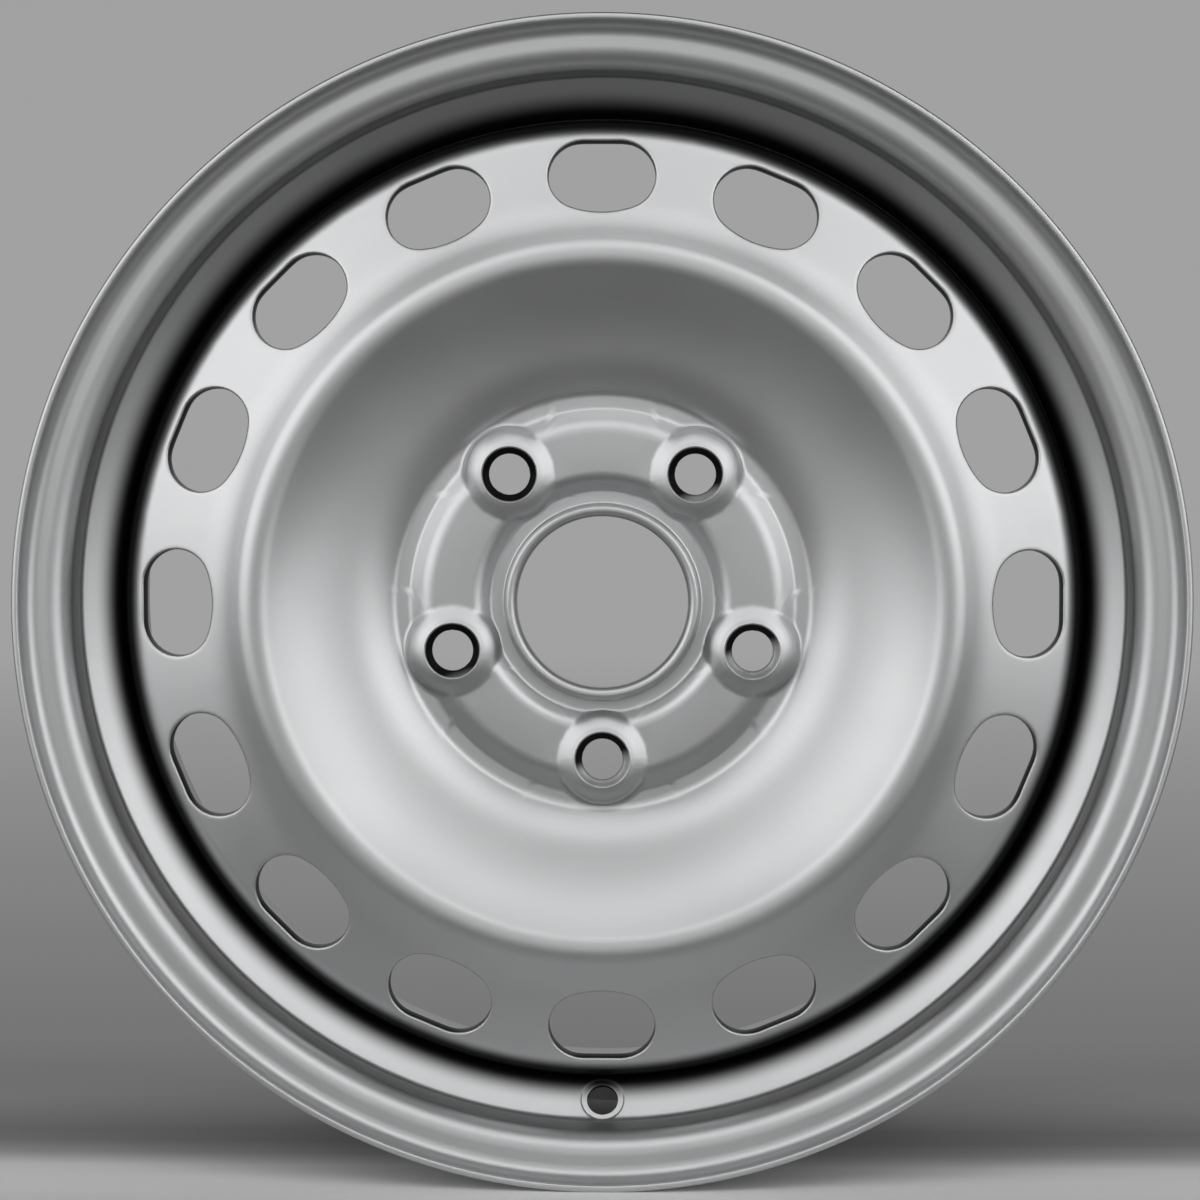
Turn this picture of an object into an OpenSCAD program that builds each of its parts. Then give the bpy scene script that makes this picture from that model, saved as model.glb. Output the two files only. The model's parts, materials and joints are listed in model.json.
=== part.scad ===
// Pressed and welded steel road wheel, 16 inch, 6.5 J wide, five bolts on 120 mm.
// The wheel stands upright: its spin axis is Y, the outboard face looks towards -Y, up is +Z,
// and the origin is the wheel's centre, halfway between the two flanges.
// Sections are drawn as [radius, height], where height runs outboard from that middle plane.
// Both pressings are drawn as a middle line with bend radii, which sheet_outline() gives its thickness.

/* [Rim] */
// Diameter of the tyre's bead seats at the flanges
bead_seat_d = 405.6; // [398:0.1:412]
// Width between the inner faces of the two flanges
rim_w = 165.1; // [160:0.1:175]
// Height of a flange above its bead seat
flange_h = 17.3; // [16.5:0.1:18.5]
// How far a flange's lip stands out past the flange's inner face
lip_out = 11.4; // [10.8:0.1:13]
// Thickness of the rim's sheet
rim_t = 2.8; // [2.4:0.1:3.1]
// Bend radius of the lip, at the middle of the sheet
lip_bend = 7.4; // [6.5:0.1:7.8]
// Bend radius between flange and bead seat, at the middle of the sheet
flange_bend = 7.9; // [7:0.1:8.5]
// Taper of a bead seat
seat_taper = 5; // [4:0.1:6]
// Distance from a flange's inner face to the crest of its safety hump
hump_in = 21.2; // [20.4:0.1:22.5]
// Height of a safety hump above the seat's taper
hump_rise = 1.2; // [0.8:0.1:1.6]
// Half the length of a safety hump
hump_half = 5.2; // [4.9:0.1:6]
// Bend radius at the feet of the humps
hump_foot_bend = 10; // [6:0.5:14]
// Bend radius at the crest of the inboard hump
hump_bend = 8; // [5:0.5:12]

/* [Well] */
// Depth of the drop centre below the bead seat
well_depth = 17.6; // [16.5:0.1:19]
// Length of the drop centre's floor between its two corners
well_w = 43.5; // [36:0.1:48]
// Axial run of the steep wall outboard of the drop centre
wall_run = 9.8; // [8.5:0.1:11]
// Axial run of the ramp inboard of the drop centre
ramp_run = 30; // [22:0.1:34]
// Depth of the inboard ledge below the bead seat
ledge_depth = 3.2; // [2.4:0.1:4.4]
// Bend radius at the steep wall's foot
wall_bend = 5; // [3.5:0.1:6]
// Bend radius at the hump on top of the steep wall
wall_top_bend = 4.4; // [3.6:0.1:4.8]
// Bend radius of the ramp's two corners
ramp_bend = 16; // [10:0.5:24]

/* [Valve hole] */
// Diameter of the valve hole
valve_hole_d = 11.5; // [10.5:0.1:12]
// Diameter of the flat that is pressed round the valve hole
valve_flat_d = 21; // [17:0.1:22]
// Depth of that flat at the middle of the wall
valve_flat_depth = 0.4; // [0.2:0.05:0.6]

/* [Disc] */
// Thickness of the disc's sheet
disc_t = 5; // [4.4:0.1:5.6]
// Offset of the face that meets the hub, outboard of the wheel's middle plane
hub_offset = 51; // [46:0.5:54]
// Diameter of the centre bore
bore_d = 65.1; // [60:0.1:66.6]
// What is bored out of the collar's wall after pressing
bore_cut = 1.6; // [1.2:0.1:2]
// Height of the bore's collar above the groove round it
collar_h = 6; // [5:0.1:8]
// How far the collar leans away from the bore at its top
collar_lean = 2.4; // [1.6:0.1:2.8]
// Bend radius at the collar's foot
collar_bend = 3.6; // [3:0.1:4.2]

/* [Bolt pad] */
// Width of the groove round the collar, from the middle of the collar's sheet to the pad's foot
groove_w = 10; // [9:0.1:11]
// Number of wheel bolts
bolt_count = 5; // [4:1:5]
// Diameter of the circle of bolt holes
bolt_circle_d = 120; // [116:0.5:126]
// Diameter of a bolt hole
bolt_hole_d = 15.6; // [14:0.1:16.5]
// Rise of the pad that carries the bolt holes
pad_rise = 4; // [3:0.1:4.4]
// Width of the pad's inner flank
pad_flank_in = 5; // [4:0.1:6]
// From the bolt circle out to the top of the pad's outer flank
pad_top_out = 6.2; // [5:0.1:7.4]
// Width of the pad's outer flank
pad_flank_out = 6.6; // [5.6:0.1:8]
// Bend radius at the pad's corners
pad_bend = 5; // [3.5:0.1:6]
// Bend radius at the top of the pad's outer flank
pad_edge_bend = 8; // [5:0.1:10]
// Width of the valley between the pad's foot and the bowl
valley_w = 7; // [6:0.1:8.5]
// Bend radius where the valley turns up into the bowl
valley_bend = 7; // [5:0.1:10]

/* [Bolt seats] */
// Radius of the ball that forms a bolt's seat
ball_r = 14; // [13:0.5:15]
// Diameter of a seat's mouth
seat_mouth_d = 21.4; // [19.5:0.1:22.5]
// Height of a seat's boss above the pad
boss_h = 2.6; // [2:0.1:3.4]
// Diameter of a boss at its foot on the pad
boss_foot_d = 34.6; // [33:0.1:36]
// Width of the flat ring round a seat's mouth
boss_land = 1.2; // [0.8:0.1:1.8]
// How much wider a boss gets from there down into the sheet
boss_flare = 1.2; // [0.6:0.1:2]
// Rounding of a boss's edges
boss_round = 1.5; // [0.6:0.1:2.5]
// Diameter of the hollow behind a boss at its mouth
hollow_d = 25; // [23:0.1:26]
// Diameter of that hollow's flat roof
hollow_roof_d = 20; // [17:0.1:22]
// Depth of the hollow behind a boss
hollow_depth = 2.6; // [1.8:0.1:2.8]
// Depth to which the hollow's wall is straight, before it slopes to the roof
hollow_wall = 0.8; // [0.5:0.1:1]

/* [Bowl and crown] */
// Width of the bowl's steep foot
bowl_foot_w = 8.2; // [7:0.1:10]
// Rise of the bowl's steep foot, above the hub
bowl_foot_rise = 5.7; // [4.4:0.1:6.2]
// Bend radius at the top of that foot
bowl_foot_bend = 42; // [20:1:60]
// Rise of the bowl where it steepens towards the crown, above the hub
bowl_rise = 13; // [11.5:0.1:14.5]
// Bend radius there
bowl_bend = 100; // [40:1:120]
// Width of the steep slope below the crown
crown_slope_w = 17.5; // [15:0.1:21]
// From the vent ring's inner corner in to the crown
crown_in = 13.4; // [11:0.1:16]
// Rise of the crown above the hub, where its two slopes would meet
crown_rise = 23.6; // [21.5:0.1:26]
// Bend radius of the crown
crown_bend = 9; // [6:0.1:10.5]

/* [Vent ring] */
// Number of vent holes
vent_count = 16; // [10:1:16]
// Radial width of the vent ring, from its inner corner to the middle of the skirt's sheet
ring_w = 35; // [33.5:0.1:37]
// Tilt of the vent ring from the wheel's plane
ring_tilt = 13; // [10:0.1:16]
// Bend radius at the vent ring's inner corner
ring_bend = 45; // [12:1:60]
// From the middle of the skirt's sheet in to the row of vents
vent_in = 19.6; // [19:0.1:20.4]
// Width of a vent along the ring
vent_w = 40.4; // [36:0.1:42]
// Height of a vent across the ring
vent_h = 27.6; // [27:0.1:28.6]
// Corner radius at a vent's outer edge
vent_corner = 13.2; // [11:0.1:13.4]

/* [Skirt and welds] */
// Rise of the shoulder's corner above the foot of the rim's steep wall
shoulder_rise = 9.8; // [8:0.1:12]
// Bend radius of the shoulder
shoulder_bend = 8.5; // [6.5:0.1:9]
// Length of skirt that grips the floor of the drop centre
skirt_grip = 27; // [20:0.1:31]
// Gap between skirt and rim, nothing where they are pressed together
skirt_gap = 0; // [0:0.05:0.3]
// Number of weld seams
weld_count = 8; // [6:1:12]
// Length of a weld seam
weld_l = 64; // [40:1:90]
// Leg of the weld's fillet
weld_leg = 4.6; // [3.5:0.1:5]
// How far the weld's face bulges past the straight line between its toes
weld_bulge = 0.8; // [0.2:0.1:1.2]

/* [Hidden] */

ring_fn = 144;
hole_fn = 48;
bend_step = 9;
bend_run = 6;
edge_r = 1;
edge_flat = 0.1;
least_bend = 0.3;
past = 1;
cut_l = 20;

rim_mid = rim_t / 2;
bead_r = bead_seat_d / 2;
flange_mid = rim_w / 2 + rim_mid;
lip_r = bead_r + flange_h - rim_mid;
lip_end = rim_w / 2 + lip_out;
hump_at = rim_w / 2 - hump_in;
well_mid_r = bead_r - well_depth - rim_mid;
wall_foot = hump_at - wall_run;
well_end = wall_foot - well_w;
ledge_r = bead_r - ledge_depth - rim_mid;

hub_mid = hub_offset + disc_t / 2;
hub_front = hub_offset + disc_t;
pad_front = hub_front + pad_rise;
pad_back = hub_offset + pad_rise;
collar_r = bore_d / 2 - bore_cut + disc_t / 2;
bolt_r = bolt_circle_d / 2;
bolt_start = 270;
seat_top = pad_front + boss_h;
skirt_r = well_mid_r - rim_mid - skirt_gap - disc_t / 2;
shoulder_at = wall_foot + shoulder_rise;
skirt_end = wall_foot - skirt_grip;
ring_top = shoulder_at + ring_w * tan(ring_tilt);
vent_r = skirt_r - vent_in;
vent_at = shoulder_at + vent_in * tan(ring_tilt);
pad_foot_r = collar_r + groove_w;
pad_edge_r = bolt_r + pad_top_out;
valley_r = pad_edge_r + pad_flank_out;
bowl_r = valley_r + valley_w;
crown_r = skirt_r - ring_w - crown_in;
valve_angle = 270;

// Middle of the sheet on a bead seat's taper, at a distance from the middle plane
function seat_r(at) = bead_r - rim_mid - (flange_mid - at) * tan(seat_taper);

hump_r = seat_r(hump_at) + hump_rise;
wall_lean = atan2(wall_run, hump_r - well_mid_r);

// The rim's middle line, from the outboard lip to the inboard one: radius, height, bend radius
rim_route = [
    [lip_r, lip_end],
    [lip_r, flange_mid, lip_bend],
    [seat_r(flange_mid), flange_mid, flange_bend],
    [seat_r(hump_at + hump_half), hump_at + hump_half, hump_foot_bend],
    [hump_r, hump_at, wall_top_bend],
    [well_mid_r, wall_foot, wall_bend],
    [well_mid_r, well_end, ramp_bend],
    [ledge_r, well_end - ramp_run, ramp_bend],
    [seat_r(hump_at - hump_half), hump_half - hump_at, hump_foot_bend],
    [hump_r, -hump_at, hump_bend],
    [seat_r(hump_at + hump_half), -hump_at - hump_half, hump_foot_bend],
    [seat_r(flange_mid), -flange_mid, flange_bend],
    [lip_r, -flange_mid, lip_bend],
    [lip_r, -lip_end]
];

// The disc's middle line, from the collar round the bore to the skirt's inboard edge
disc_route = [
    [collar_r + collar_lean, hub_front + collar_h],
    [collar_r, hub_mid, collar_bend],
    [pad_foot_r, hub_mid, pad_bend],
    [pad_foot_r + pad_flank_in, hub_mid + pad_rise, pad_bend],
    [pad_edge_r, hub_mid + pad_rise, pad_edge_bend],
    [valley_r, hub_mid, pad_bend],
    [bowl_r, hub_mid, valley_bend],
    [bowl_r + bowl_foot_w, hub_mid + bowl_foot_rise, bowl_foot_bend],
    [crown_r - crown_slope_w, hub_mid + bowl_rise, bowl_bend],
    [crown_r, hub_mid + crown_rise, crown_bend],
    [skirt_r - ring_w, ring_top, ring_bend],
    [skirt_r, shoulder_at, shoulder_bend],
    [skirt_r, skirt_end]
];

function unit(v) = v / norm(v);
function flat(p) = [p[0], p[1]];
function left(v) = [-v[1], v[0]];
function reverse(list) = [for (i = [len(list) - 1 : -1 : 0]) list[i]];

// Points of an arc about a centre, from one angle to another, each at most bend_step or bend_run apart
function arc(centre, radius, from, to) =
    let (
        turn = abs(to - from),
        steps = max(1, ceil(turn / bend_step), ceil(turn * PI / 180 * radius / bend_run))
    )
    [for (i = [0 : steps])
        let (a = from + (to - from) * i / steps)
        centre + radius * [cos(a), sin(a)]];

// Half of the angle between the two legs that meet at corner b
function half_angle(a, b, c) = acos(unit(flat(a) - flat(b)) * unit(flat(c) - flat(b))) / 2;

// Bend radii of a route, from its second point to its last but one, each limited by its two legs
function bend_radii(route) =
    let (
        n = len(route) - 1,
        run = [
            0,
            for (i = [1 : n - 1])
                route[i][2] / tan(half_angle(route[i - 1], route[i], route[i + 1])),
            0
        ],
        share = [
            for (i = [0 : n - 1])
                min(1, norm(flat(route[i + 1]) - flat(route[i])) / (run[i] + run[i + 1]))
        ]
    )
    [for (i = [1 : n - 1]) route[i][2] * min(share[i - 1], share[i])];

// The bend of radius r at corner b, on the face that lies side to the left of the middle line
function bend(a, b, c, r, side) =
    let (
        back = unit(flat(a) - flat(b)),
        on = unit(flat(c) - flat(b)),
        half = half_angle(a, b, c),
        turn = sign(cross(-back, on)),
        centre = flat(b) + unit(back + on) * r / sin(half),
        out = -turn * left(-back),
        from = atan2(out[1], out[0])
    )
    arc(centre, max(least_bend, r - turn * side), from, from + turn * (180 - 2 * half));

// All the bends of a route on one face
function face(route, side) =
    let (radii = bend_radii(route))
    [
        for (i = [1 : len(route) - 2])
            each bend(route[i - 1], route[i], route[i + 1], radii[i - 1], side)
    ];

// The rounded edge of the sheet at point p, where the sheet ends in direction d
function sheet_edge(p, d, t, r) =
    let (a = atan2(d[1], d[0]), inset = p - d * r, across = left(d) * (t / 2 - r))
    concat(arc(inset + across, r, a + 90, a), arc(inset - across, r, a, a - 90));

// Closed outline of a bent sheet of thickness t along a route
function sheet_outline(route, t, r_start, r_end) =
    let (
        n = len(route) - 1,
        d_start = unit(flat(route[0]) - flat(route[1])),
        d_end = unit(flat(route[n]) - flat(route[n - 1]))
    )
    concat(
        face(route, t / 2),
        sheet_edge(flat(route[n]), d_end, t, r_end),
        reverse(face(route, -t / 2)),
        sheet_edge(flat(route[0]), d_start, t, r_start)
    );

// Turns a section about the axle and stands the wheel upright
module upright() {
    rotate([90, 0, 0])
        children();
}

// Puts its children at a radius and height of the section, turned to an angle round the axle,
// with their own axis leaning outwards from the axle by lean
module on_section(radius, height, angle, lean = 0) {
    rotate([0, 0, angle])
        translate([radius, 0, height])
            rotate([0, lean, 0])
                children();
}

// Hole for the valve through the steep wall, with the flat that is pressed round it
module valve_cut() {
    on_section((hump_r + well_mid_r) / 2, (hump_at + wall_foot) / 2, valve_angle, -wall_lean) {
        cylinder(d = valve_hole_d, h = cut_l, center = true, $fn = hole_fn);
        translate([0, 0, rim_mid - valve_flat_depth])
            cylinder(d = valve_flat_d, h = rim_t, $fn = hole_fn);
    }
}

// Rolled rim: two flanges, bead seats with safety humps, and the drop centre
module rim() {
    color("silver")
        upright()
            difference() {
                rotate_extrude($fn = ring_fn)
                    polygon(sheet_outline(rim_route, rim_t, edge_r, edge_r));
                valve_cut();
            }
}

// Raised boss round one bolt hole, drawn on its own axis with the height of the section. It starts
// halfway between the pad's back and the hub's front, which lies inside the sheet everywhere.
module boss() {
    foot_r = boss_foot_d / 2;
    foot_at = (pad_back + hub_front) / 2;
    route = [
        [foot_r + boss_flare, foot_at],
        [foot_r, pad_front, boss_round],
        [seat_mouth_d / 2 + boss_land, seat_top, boss_round],
        [0, seat_top]
    ];
    rotate_extrude($fn = hole_fn)
        polygon(concat([[0, foot_at], route[0]], face(route, 0), [route[3]]));
}

// What is cut out of a boss: the hollow behind it, the bolt hole and the ball seat
module boss_cut() {
    ball_at = seat_top + sqrt(ball_r * ball_r - seat_mouth_d * seat_mouth_d / 4);
    rotate_extrude($fn = hole_fn)
        polygon([
            [0, hub_offset - past],
            [hollow_d / 2, hub_offset - past],
            [hollow_d / 2, pad_back + hollow_wall],
            [hollow_roof_d / 2, pad_back + hollow_depth],
            [0, pad_back + hollow_depth]
        ]);
    translate([0, 0, hub_offset])
        cylinder(d = bolt_hole_d, h = cut_l, $fn = hole_fn);
    translate([0, 0, ball_at])
        sphere(r = ball_r, $fn = hole_fn);
}

// Outline of one vent: flat with round corners at the outer edge, one large arc at the inner edge.
// X points away from the axle.
module vent_outline() {
    top = vent_h / 2 - vent_corner;
    side = vent_w / 2 - vent_corner;
    // The inner arc touches both corner circles, and its centre lies on the vent's middle line
    arc_at = side * side / (4 * top);
    lean = atan2(side, arc_at - top);
    polygon(concat(
        arc([top, side], vent_corner, 0, 180 - lean),
        arc([arc_at, 0], arc_at + vent_h / 2, 180 - lean, 180 + lean),
        arc([top, -side], vent_corner, 180 + lean, 360)
    ));
}

// Pressed disc: bore collar, bolt pad with its bosses, bowl, crown, vent ring and skirt
module disc() {
    color("silver")
        upright()
            difference() {
                union() {
                    rotate_extrude($fn = ring_fn)
                        polygon(sheet_outline(disc_route, disc_t, disc_t / 2 - edge_flat, edge_r));
                    for (i = [0 : bolt_count - 1])
                        on_section(bolt_r, 0, bolt_start + i * 360 / bolt_count)
                            boss();
                }
                cylinder(d = bore_d, h = lip_end, $fn = ring_fn);
                for (i = [0 : bolt_count - 1])
                    on_section(bolt_r, 0, bolt_start + i * 360 / bolt_count)
                        boss_cut();
                for (i = [0 : vent_count - 1])
                    on_section(vent_r, vent_at, 90 + i * 360 / vent_count, ring_tilt)
                        linear_extrude(cut_l, center = true)
                            vent_outline();
            }
}

// One of the fillet welds between the skirt's inboard edge and the floor of the drop centre
module weld(i) {
    outer_r = well_mid_r - rim_mid;
    span = weld_l / outer_r * 180 / PI;
    face_mid = weld_leg / 2 + weld_bulge * sin(45);
    color("darkgray")
        upright()
            rotate([0, 0, 90 + (i - 0.5) * 360 / weld_count - span / 2])
                rotate_extrude(angle = span, $fn = ring_fn)
                    polygon([
                        [outer_r, skirt_end],
                        [outer_r - weld_leg, skirt_end],
                        [outer_r - face_mid, skirt_end - face_mid],
                        [outer_r, skirt_end - weld_leg]
                    ]);
}

rim();
disc();
for (i = [1 : weld_count]) {
    weld(i);
}
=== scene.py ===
import json
import math

import bmesh
import bpy
import numpy as np
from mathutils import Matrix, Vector


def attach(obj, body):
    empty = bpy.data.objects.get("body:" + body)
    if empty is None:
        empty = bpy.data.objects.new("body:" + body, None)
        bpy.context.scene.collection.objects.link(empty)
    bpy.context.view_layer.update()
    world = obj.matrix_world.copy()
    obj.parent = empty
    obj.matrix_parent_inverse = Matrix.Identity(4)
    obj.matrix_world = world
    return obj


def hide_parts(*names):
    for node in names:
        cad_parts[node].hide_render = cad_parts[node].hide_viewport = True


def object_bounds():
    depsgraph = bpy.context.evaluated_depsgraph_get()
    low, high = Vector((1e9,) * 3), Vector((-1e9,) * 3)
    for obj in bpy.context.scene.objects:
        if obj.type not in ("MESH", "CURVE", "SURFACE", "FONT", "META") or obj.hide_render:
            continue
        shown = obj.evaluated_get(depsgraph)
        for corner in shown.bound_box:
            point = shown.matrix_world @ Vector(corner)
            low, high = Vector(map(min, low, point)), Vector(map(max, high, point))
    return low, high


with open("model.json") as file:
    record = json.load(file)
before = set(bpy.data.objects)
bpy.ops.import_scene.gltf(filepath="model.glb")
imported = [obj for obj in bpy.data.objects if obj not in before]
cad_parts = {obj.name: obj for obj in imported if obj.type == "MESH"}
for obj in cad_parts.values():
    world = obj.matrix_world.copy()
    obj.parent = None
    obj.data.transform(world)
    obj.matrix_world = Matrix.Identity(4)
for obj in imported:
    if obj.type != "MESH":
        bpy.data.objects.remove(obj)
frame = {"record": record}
cad_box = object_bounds()
mounts = {mount["name"]: mount for mount in frame["record"]["mounts"]}

# Rim
# A strip of 2.8 mm steel, rolled to a hoop, butt welded and then rolled into its contour: two
# flanges, two bead seats with safety humps, and the drop centre that the disc is pressed into.
MM = 0.001
TURN = 2 * math.pi
TURN_SEGMENTS = 320
STEP = TURN / TURN_SEGMENTS

rim_t = 2.8
bead_seat_r = 202.8
flange_face = 82.55
flange_h = 17.3
lip_out = 11.4
lip_bend = 7.4
flange_bend = 7.9
seat_slope = math.tan(math.radians(5))
hump_in = 21.2
hump_rise = 1.2
hump_half = 5.2
hump_foot_bend = 10
hump_bend = 8
wall_top_bend = 4.4
wall_bend = 5
wall_run = 9.8
well_depth = 17.6
well_w = 43.5
ramp_run = 30
ramp_bend = 16
ledge_depth = 3.2

lip_r = bead_seat_r + flange_h - rim_t / 2
lip_end = flange_face + lip_out
flange_mid = flange_face + rim_t / 2
hump_at = flange_face - hump_in
well_mid_r = bead_seat_r - well_depth - rim_t / 2
wall_foot = hump_at - wall_run
well_end = wall_foot - well_w
ledge_r = bead_seat_r - ledge_depth - rim_t / 2


def seat_r(at):
    """Middle of the sheet on a bead seat's taper, at a distance from the middle plane."""
    return bead_seat_r - rim_t / 2 - (flange_mid - at) * seat_slope


hump_r = seat_r(hump_at) + hump_rise
rim_route = [
    (lip_r, lip_end, 0),
    (lip_r, flange_mid, lip_bend),
    (seat_r(flange_mid), flange_mid, flange_bend),
    (seat_r(hump_at + hump_half), hump_at + hump_half, hump_foot_bend),
    (hump_r, hump_at, wall_top_bend),
    (well_mid_r, wall_foot, wall_bend),
    (well_mid_r, well_end, ramp_bend),
    (ledge_r, well_end - ramp_run, ramp_bend),
    (seat_r(hump_at - hump_half), hump_half - hump_at, hump_foot_bend),
    (hump_r, -hump_at, hump_bend),
    (seat_r(hump_at + hump_half), -hump_at - hump_half, hump_foot_bend),
    (seat_r(flange_mid), -flange_mid, flange_bend),
    (lip_r, -flange_mid, lip_bend),
    (lip_r, -lip_end, 0),
]


class BentSheet:
    """A sheet bent along a route of (radius, height, bend radius) in millimetres.

    A place on it is s, the length along its middle line, and w, the distance to that line's left."""

    SAMPLE = math.radians(0.5)

    def __init__(self, route):
        corners = [np.array(p[:2], float) for p in route]
        points, normals, stations = [corners[0]], [], [0]
        for before, corner, after, (_, _, bend) in zip(corners, corners[1:], corners[2:], route[1:]):
            back, on = self.unit(before - corner), self.unit(after - corner)
            half = math.acos(np.clip(back @ on, -1, 1)) / 2
            start = corner + back * bend / math.tan(half)
            centre = corner + self.unit(back + on) * bend / math.sin(half)
            sweep = math.copysign(math.pi - 2 * half, -back[0] * on[1] + back[1] * on[0])
            spoke = start - centre
            count = max(2, math.ceil(abs(sweep) / self.SAMPLE))
            if not normals:
                normals.append(self.left(-back))
            for a in np.linspace(0, sweep, count + 1):
                c, n = math.cos(a), math.sin(a)
                points.append(centre + (spoke[0] * c - spoke[1] * n, spoke[0] * n + spoke[1] * c))
                way = (-back[0] * c + back[1] * n, -back[0] * n - back[1] * c)
                normals.append(self.left(way))
            stations += [len(points) - 1 - count, len(points) - 1]
        points.append(corners[-1])
        normals.append(normals[-1])
        self.points, self.normals = np.array(points), np.array(normals)
        gaps = np.linalg.norm(np.diff(self.points, axis=0), axis=1)
        self.s = np.concatenate([[0], np.cumsum(gaps)])
        self.length = self.s[-1]
        self.stations = self.s[stations + [len(points) - 1]]

    @staticmethod
    def unit(v):
        return v / np.linalg.norm(v)

    @staticmethod
    def left(v):
        return np.array([-v[1], v[0]])

    def at(self, s, w):
        """Radius and height of the place s along the sheet and w beside its middle line."""
        middle = [np.interp(s, self.s, self.points[:, i]) for i in (0, 1)]
        normal = [np.interp(s, self.s, self.normals[:, i]) for i in (0, 1)]
        size = np.hypot(*normal)
        return middle[0] + w * normal[0] / size, middle[1] + w * normal[1] / size

    def rows(self, a, b, degrees, flat):
        """Lengths from a to b at which to draw the sheet: each so many degrees of a bend, or millimetres flat."""
        marks = [a] + [s for s in self.stations if a + 0.05 < s < b - 0.05] + [b]
        found = [a]
        for low, high in zip(marks, marks[1:]):
            n = [np.interp((low, high), self.s, self.normals[:, i]) for i in (0, 1)]
            turned = math.degrees(math.acos(np.clip(n[0][0] * n[0][1] + n[1][0] * n[1][1], -1, 1)))
            count = max(1, math.ceil(turned / degrees), math.ceil((high - low) / flat))
            found += list(np.linspace(low, high, count + 1)[1:])
        return np.array(found)

    def length_at(self, radius):
        """Length at which the middle line reaches a radius, where the sheet runs outwards."""
        return np.interp(radius, self.points[:, 0], self.s)


def stand(r, h, angle):
    """Points of the upright wheel, in metres, from radius, height outboard and angle round the axle."""
    r, h, angle = np.broadcast_arrays(np.asarray(r, float), h, angle)
    return np.stack([r * np.cos(angle), -h, r * np.sin(angle)], -1) * MM


def sheet_edge(s, way, t, radius, count=3):
    """The rounded edge of a sheet at its end s, from its left face to its right one."""
    w0 = t / 2 - radius
    found = []
    for side in (1, -1):
        for a in np.linspace(0, math.pi / 2, count + 1):
            turn = a if side > 0 else math.pi / 2 - a
            along = radius * (1 - math.sin(turn))
            found.append((s - way * along, side * (w0 + radius * math.cos(turn))))
    return found


class Skin:
    """Gathers grids of points as quads, and welds them into one smooth, closed piece."""

    WELD = 2e-6

    def __init__(self):
        self.points, self.quads, self.count = [], [], 0

    def grid(self, points, ring=False):
        rows, columns = points.shape[:2]
        index = self.count + np.arange(rows * columns).reshape(rows, columns)
        if ring:
            index = np.hstack([index, index[:, :1]])
        corners = (index[:-1, :-1], index[:-1, 1:], index[1:, 1:], index[1:, :-1])
        self.quads.append(np.stack(corners, -1).reshape(-1, 4))
        self.points.append(points.reshape(-1, 3))
        self.count += rows * columns
        return self

    def mesh(self, name):
        made = bpy.data.meshes.new(name)
        made.from_pydata(np.concatenate(self.points), [], np.concatenate(self.quads).tolist())
        return made

    @classmethod
    def welded(cls, name, meshes):
        """One closed mesh from several that meet edge to edge, with its faces outwards."""
        work = bmesh.new()
        for mesh in meshes:
            work.from_mesh(mesh)
        bmesh.ops.remove_doubles(work, verts=work.verts, dist=cls.WELD)
        bmesh.ops.recalc_face_normals(work, faces=work.faces)
        for face in work.faces:
            face.smooth = True
        made = bpy.data.meshes.new(name)
        work.to_mesh(made)
        work.free()
        made.set_sharp_from_angle(angle=math.radians(40))
        return made


class Wire:
    """An output of a node tree. Python's operators on it add Math nodes."""

    def __init__(self, tree, socket):
        self.tree, self.socket = tree, socket

    def node(self, kind, settings=None, values=None, out=0):
        """A new node of a kind, with its settings made first and then its sockets set or linked."""
        return add_node(self.tree, kind, settings, values, out)

    def math(self, operation, *values):
        return self.node("ShaderNodeMath", {"operation": operation}, dict(enumerate(values)))

    def __add__(self, other):
        return self.math("ADD", self, other)

    def __sub__(self, other):
        return self.math("SUBTRACT", self, other)

    def __rsub__(self, other):
        return self.math("SUBTRACT", other, self)

    def __mul__(self, other):
        return self.math("MULTIPLY", self, other)

    def __truediv__(self, other):
        return self.math("DIVIDE", self, other)

    def hypot(self, other):
        squares = self * self + other * other
        return squares.math("SQRT", squares)

    def offset_from(self, point):
        return self.node("ShaderNodeVectorMath", {"operation": "SUBTRACT"}, {0: self, 1: tuple(point)})

    def dot(self, way):
        return self.node("ShaderNodeVectorMath", {"operation": "DOT_PRODUCT"}, {0: self, 1: tuple(way)}, "Value")

    def fade(self, low, high):
        """Goes smoothly from 0 to 1 while this output goes from low to high."""
        return self.node(
            "ShaderNodeMapRange", {"interpolation_type": "SMOOTHSTEP"},
            {"Value": self, "From Min": low, "From Max": high})

    __radd__ = __add__
    __rmul__ = __mul__


def add_node(tree, kind, settings=None, values=None, out=0):
    node = tree.nodes.new(kind)
    for name, value in (settings or {}).items():
        if name == "stops":
            ramp = node.color_ramp.elements
            while len(ramp) < len(value):
                ramp.new(1)
            for stop, (place, shade) in zip(ramp, value):
                stop.position, stop.color = place, shade
        else:
            setattr(node, name, value)
    for name, value in (values or {}).items():
        if isinstance(value, Wire):
            tree.links.new(value.socket, node.inputs[name])
        else:
            node.inputs[name].default_value = value
    return Wire(tree, node.outputs[out])


def new_tree(name, inputs):
    """An empty Geometry Nodes tree with a mesh input and output and the named inputs."""
    tree = bpy.data.node_groups.new(name, "GeometryNodeTree")
    face = tree.interface
    face.new_socket("Geometry", in_out="INPUT", socket_type="NodeSocketGeometry")
    face.new_socket("Geometry", in_out="OUTPUT", socket_type="NodeSocketGeometry")
    for label, kind in inputs.items():
        face.new_socket(label, in_out="INPUT", socket_type="NodeSocket" + kind)
    source = tree.nodes.new("NodeGroupInput")
    return tree, {s.name: Wire(tree, s) for s in source.outputs if s.name}


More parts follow.
